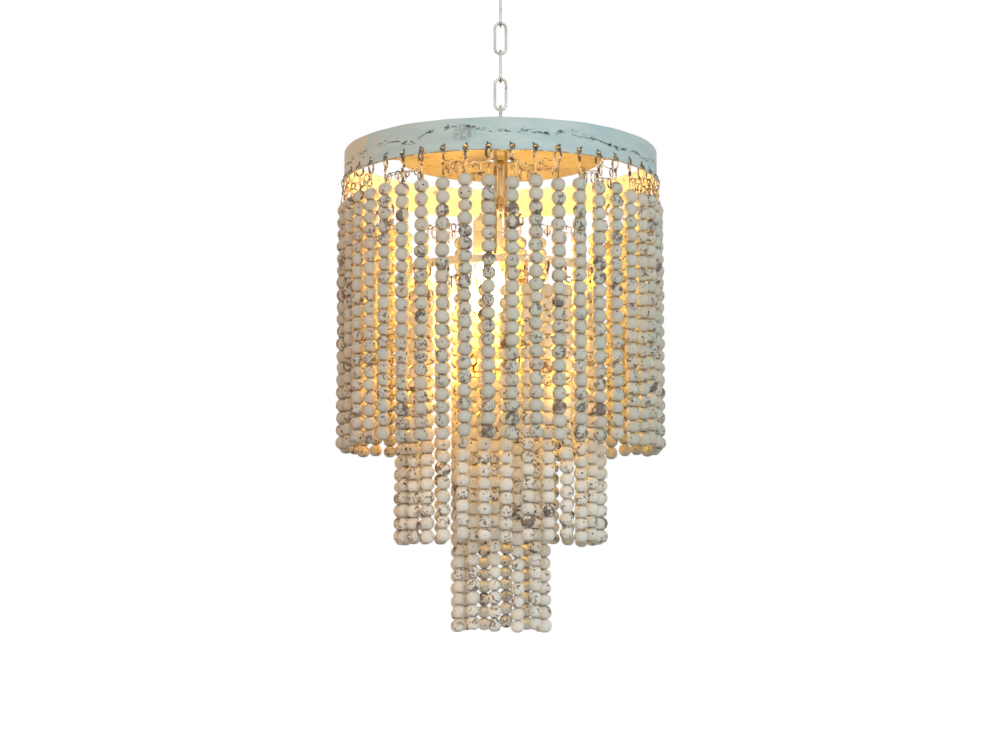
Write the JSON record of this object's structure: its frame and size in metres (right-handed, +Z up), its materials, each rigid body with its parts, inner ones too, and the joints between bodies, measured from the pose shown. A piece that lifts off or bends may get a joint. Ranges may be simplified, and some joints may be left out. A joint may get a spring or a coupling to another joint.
{
  "type": "beaded chandelier",
  "caption": "Tiered chandelier: strings of round wooden beads hang from holes in concentric metal hoops round a single lamp, on a short chain with a ceiling hook.",
  "frame": {"origin": "centre of the ceiling plate's flat top face, against the ceiling", "axes": "+Z up, so that the lamp hangs along -Z; -Y is the pictured front, and the lamp bulb stands beside the central rod on the -X side"},
  "size_m": [0.4142, 0.4139, 0.89],
  "materials": {
    "brass": "aged, satin",
    "chain_metal": "worn, satin",
    "band_paint": "matt, chipped at scattered spots",
    "hoop_metal": "aged, satin",
    "lampholder_plastic": "satin",
    "porcelain": "glazed",
    "bulb_glass": "frosted",
    "bead_wood": "whitewashed, worn to brown in places"
  },
  "bodies": {
    "ceiling_mount": {"ceiling_plate": "brass", "hook_lock_nut": "brass", "ceiling_hook": "chain_metal"},
    "chain_link_1": {"chain_link_1": "chain_metal"},
    "chain_link_2": {"chain_link_2": "chain_metal"},
    "chain_link_3": {"chain_link_3": "chain_metal"},
    "chain_link_4": {"chain_link_4": "chain_metal"},
    "chain_link_5": {"chain_link_5": "chain_metal"},
    "lamp_frame": {"eye_bolt": "chain_metal", "rod_nut_upper": "brass", "rod_nut_lower": "brass", "bracket_nut_upper": "brass", "bracket_nut_lower": "brass", "long_strap": "hoop_metal", "cross_strap": "hoop_metal", "carrier_plate": "hoop_metal", "outer_band": "band_paint", "middle_hoop": "hoop_metal", "inner_hoop": "hoop_metal", "lamp_bracket": "hoop_metal", "threaded_nipple": "brass", "nipple_nut_upper": "brass", "nipple_nut_lower": "brass", "cord_grip": "lampholder_plastic", "lampholder_cap": "lampholder_plastic", "lampholder_shell": "lampholder_plastic", "lampholder_insert": "porcelain", "screw_shell": "brass", "centre_contact": "brass", "bulb_cap": "brass", "bulb_glass": "bulb_glass"},
    "outer_strings_01": {"outer_strings_01": "bead_wood"},
    "outer_strings_02": {"outer_strings_02": "bead_wood"},
    "outer_strings_03": {"outer_strings_03": "bead_wood"},
    "outer_strings_04": {"outer_strings_04": "bead_wood"},
    "outer_strings_05": {"outer_strings_05": "bead_wood"},
    "outer_strings_06": {"outer_strings_06": "bead_wood"},
    "outer_strings_07": {"outer_strings_07": "bead_wood"},
    "outer_strings_08": {"outer_strings_08": "bead_wood"},
    "outer_strings_09": {"outer_strings_09": "bead_wood"},
    "outer_strings_10": {"outer_strings_10": "bead_wood"},
    "outer_strings_11": {"outer_strings_11": "bead_wood"},
    "outer_strings_12": {"outer_strings_12": "bead_wood"},
    "outer_strings_13": {"outer_strings_13": "bead_wood"},
    "outer_strings_14": {"outer_strings_14": "bead_wood"},
    "outer_strings_15": {"outer_strings_15": "bead_wood"},
    "middle_strings_01": {"middle_strings_01": "bead_wood"},
    "middle_strings_02": {"middle_strings_02": "bead_wood"},
    "middle_strings_03": {"middle_strings_03": "bead_wood"},
    "middle_strings_04": {"middle_strings_04": "bead_wood"},
    "middle_strings_05": {"middle_strings_05": "bead_wood"},
    "middle_strings_06": {"middle_strings_06": "bead_wood"},
    "middle_strings_07": {"middle_strings_07": "bead_wood"},
    "middle_strings_08": {"middle_strings_08": "bead_wood"},
    "middle_strings_09": {"middle_strings_09": "bead_wood"},
    "middle_strings_10": {"middle_strings_10": "bead_wood"},
    "inner_strings_01": {"inner_strings_01": "bead_wood"},
    "inner_strings_02": {"inner_strings_02": "bead_wood"},
    "inner_strings_03": {"inner_strings_03": "bead_wood"},
    "inner_strings_04": {"inner_strings_04": "bead_wood"}
  },
  "joints": [
    {"name": "chain_link_1_swing", "type": "hinge", "parent": "ceiling_mount", "child": "chain_link_1", "pos_m": [0, 0, -0.042], "axis": [0, 1, 0], "range_deg": [-12, 12]},
    {"name": "chain_link_2_swing", "type": "hinge", "parent": "chain_link_1", "child": "chain_link_2", "pos_m": [0, 0, -0.07825], "axis": [1, 0, 0], "range_deg": [-12, 12]},
    {"name": "chain_link_3_swing", "type": "hinge", "parent": "chain_link_2", "child": "chain_link_3", "pos_m": [0, 0, -0.11525], "axis": [0, 1, 0], "range_deg": [-12, 12]},
    {"name": "chain_link_4_swing", "type": "hinge", "parent": "chain_link_3", "child": "chain_link_4", "pos_m": [0, 0, -0.15225], "axis": [1, 0, 0], "range_deg": [-12, 12]},
    {"name": "chain_link_5_swing", "type": "hinge", "parent": "chain_link_4", "child": "chain_link_5", "pos_m": [0, 0, -0.18925], "axis": [0, 1, 0], "range_deg": [-12, 12]},
    {"name": "lamp_frame_swing", "type": "hinge", "parent": "chain_link_5", "child": "lamp_frame", "pos_m": [0, 0, -0.22625], "axis": [1, 0, 0], "range_deg": [-12, 12]},
    {"name": "outer_strings_01_swing", "type": "hinge", "parent": "lamp_frame", "child": "outer_strings_01", "pos_m": [0.04116, -0.19363, -0.3258], "axis": [-0.9781, -0.2079, 0], "range_deg": [-4, 30]},
    {"name": "outer_strings_02_swing", "type": "hinge", "parent": "lamp_frame", "child": "outer_strings_02", "pos_m": [0.11636, -0.16015, -0.3258], "axis": [-0.809, -0.5878, 0], "range_deg": [-4, 30]},
    {"name": "outer_strings_03_swing", "type": "hinge", "parent": "lamp_frame", "child": "outer_strings_03", "pos_m": [0.17144, -0.09898, -0.3258], "axis": [-0.5, -0.866, 0], "range_deg": [-4, 30]},
    {"name": "outer_strings_04_swing", "type": "hinge", "parent": "lamp_frame", "child": "outer_strings_04", "pos_m": [0.19687, -0.02069, -0.3258], "axis": [-0.1045, -0.9945, 0], "range_deg": [-4, 30]},
    {"name": "outer_strings_05_swing", "type": "hinge", "parent": "lamp_frame", "child": "outer_strings_05", "pos_m": [0.18827, 0.06117, -0.3258], "axis": [0.309, -0.9511, 0], "range_deg": [-4, 30]},
    {"name": "outer_strings_06_swing", "type": "hinge", "parent": "lamp_frame", "child": "outer_strings_06", "pos_m": [0.14711, 0.13246, -0.3258], "axis": [0.6691, -0.7431, 0], "range_deg": [-4, 30]},
    {"name": "outer_strings_07_swing", "type": "hinge", "parent": "lamp_frame", "child": "outer_strings_07", "pos_m": [0.08052, 0.18084, -0.3258], "axis": [0.9135, -0.4067, 0], "range_deg": [-4, 30]},
    {"name": "outer_strings_08_swing", "type": "hinge", "parent": "lamp_frame", "child": "outer_strings_08", "pos_m": [0, 0.19796, -0.3258], "axis": [1, 0, 0], "range_deg": [-4, 30]},
    {"name": "outer_strings_09_swing", "type": "hinge", "parent": "lamp_frame", "child": "outer_strings_09", "pos_m": [-0.08052, 0.18084, -0.3258], "axis": [0.9135, 0.4067, 0], "range_deg": [-4, 30]},
    {"name": "outer_strings_10_swing", "type": "hinge", "parent": "lamp_frame", "child": "outer_strings_10", "pos_m": [-0.14711, 0.13246, -0.3258], "axis": [0.6691, 0.7431, 0], "range_deg": [-4, 30]},
    {"name": "outer_strings_11_swing", "type": "hinge", "parent": "lamp_frame", "child": "outer_strings_11", "pos_m": [-0.18827, 0.06117, -0.3258], "axis": [0.309, 0.9511, 0], "range_deg": [-4, 30]},
    {"name": "outer_strings_12_swing", "type": "hinge", "parent": "lamp_frame", "child": "outer_strings_12", "pos_m": [-0.19687, -0.02069, -0.3258], "axis": [-0.1045, 0.9945, 0], "range_deg": [-4, 30]},
    {"name": "outer_strings_13_swing", "type": "hinge", "parent": "lamp_frame", "child": "outer_strings_13", "pos_m": [-0.17144, -0.09898, -0.3258], "axis": [-0.5, 0.866, 0], "range_deg": [-4, 30]},
    {"name": "outer_strings_14_swing", "type": "hinge", "parent": "lamp_frame", "child": "outer_strings_14", "pos_m": [-0.11636, -0.16015, -0.3258], "axis": [-0.809, 0.5878, 0], "range_deg": [-4, 30]},
    {"name": "outer_strings_15_swing", "type": "hinge", "parent": "lamp_frame", "child": "outer_strings_15", "pos_m": [-0.04116, -0.19363, -0.3258], "axis": [-0.9781, 0.2079, 0], "range_deg": [-4, 30]},
    {"name": "middle_strings_01_swing", "type": "hinge", "parent": "lamp_frame", "child": "middle_strings_01", "pos_m": [0.03195, -0.11922, -0.4458], "axis": [-0.9659, -0.2588, 0], "range_deg": [-2, 11]},
    {"name": "middle_strings_02_swing", "type": "hinge", "parent": "lamp_frame", "child": "middle_strings_02", "pos_m": [0.09592, -0.07767, -0.4458], "axis": [-0.6293, -0.7771, 0], "range_deg": [-2, 11]},
    {"name": "middle_strings_03_swing", "type": "hinge", "parent": "lamp_frame", "child": "middle_strings_03", "pos_m": [0.12326, -0.00646, -0.4458], "axis": [-0.0523, -0.9986, 0], "range_deg": [-2, 11]},
    {"name": "middle_strings_04_swing", "type": "hinge", "parent": "lamp_frame", "child": "middle_strings_04", "pos_m": [0.10351, 0.06722, -0.4458], "axis": [0.5446, -0.8387, 0], "range_deg": [-2, 11]},
    {"name": "middle_strings_05_swing", "type": "hinge", "parent": "lamp_frame", "child": "middle_strings_05", "pos_m": [0.04423, 0.11523, -0.4458], "axis": [0.9336, -0.3584, 0], "range_deg": [-2, 11]},
    {"name": "middle_strings_06_swing", "type": "hinge", "parent": "lamp_frame", "child": "middle_strings_06", "pos_m": [-0.03195, 0.11922, -0.4458], "axis": [0.9659, 0.2588, 0], "range_deg": [-2, 11]},
    {"name": "middle_strings_07_swing", "type": "hinge", "parent": "lamp_frame", "child": "middle_strings_07", "pos_m": [-0.09592, 0.07767, -0.4458], "axis": [0.6293, 0.7771, 0], "range_deg": [-2, 11]},
    {"name": "middle_strings_08_swing", "type": "hinge", "parent": "lamp_frame", "child": "middle_strings_08", "pos_m": [-0.12326, 0.00646, -0.4458], "axis": [0.0523, 0.9986, 0], "range_deg": [-2, 11]},
    {"name": "middle_strings_09_swing", "type": "hinge", "parent": "lamp_frame", "child": "middle_strings_09", "pos_m": [-0.10351, -0.06722, -0.4458], "axis": [-0.5446, 0.8387, 0], "range_deg": [-2, 11]},
    {"name": "middle_strings_10_swing", "type": "hinge", "parent": "lamp_frame", "child": "middle_strings_10", "pos_m": [-0.04423, -0.11523, -0.4458], "axis": [-0.9336, 0.3584, 0], "range_deg": [-2, 11]},
    {"name": "inner_strings_01_swing", "type": "hinge", "parent": "lamp_frame", "child": "inner_strings_01", "pos_m": [0.0392, -0.03008, -0.5528], "axis": [-0.6088, -0.7934, 0], "range_deg": [-1.2, 11]},
    {"name": "inner_strings_02_swing", "type": "hinge", "parent": "lamp_frame", "child": "inner_strings_02", "pos_m": [0.03008, 0.0392, -0.5528], "axis": [0.7934, -0.6088, 0], "range_deg": [-1.2, 11]},
    {"name": "inner_strings_03_swing", "type": "hinge", "parent": "lamp_frame", "child": "inner_strings_03", "pos_m": [-0.0392, 0.03008, -0.5528], "axis": [0.6088, 0.7934, 0], "range_deg": [-1.2, 11]},
    {"name": "inner_strings_04_swing", "type": "hinge", "parent": "lamp_frame", "child": "inner_strings_04", "pos_m": [-0.03008, -0.0392, -0.5528], "axis": [-0.7934, 0.6088, 0], "range_deg": [-1.2, 11]}
  ]
}
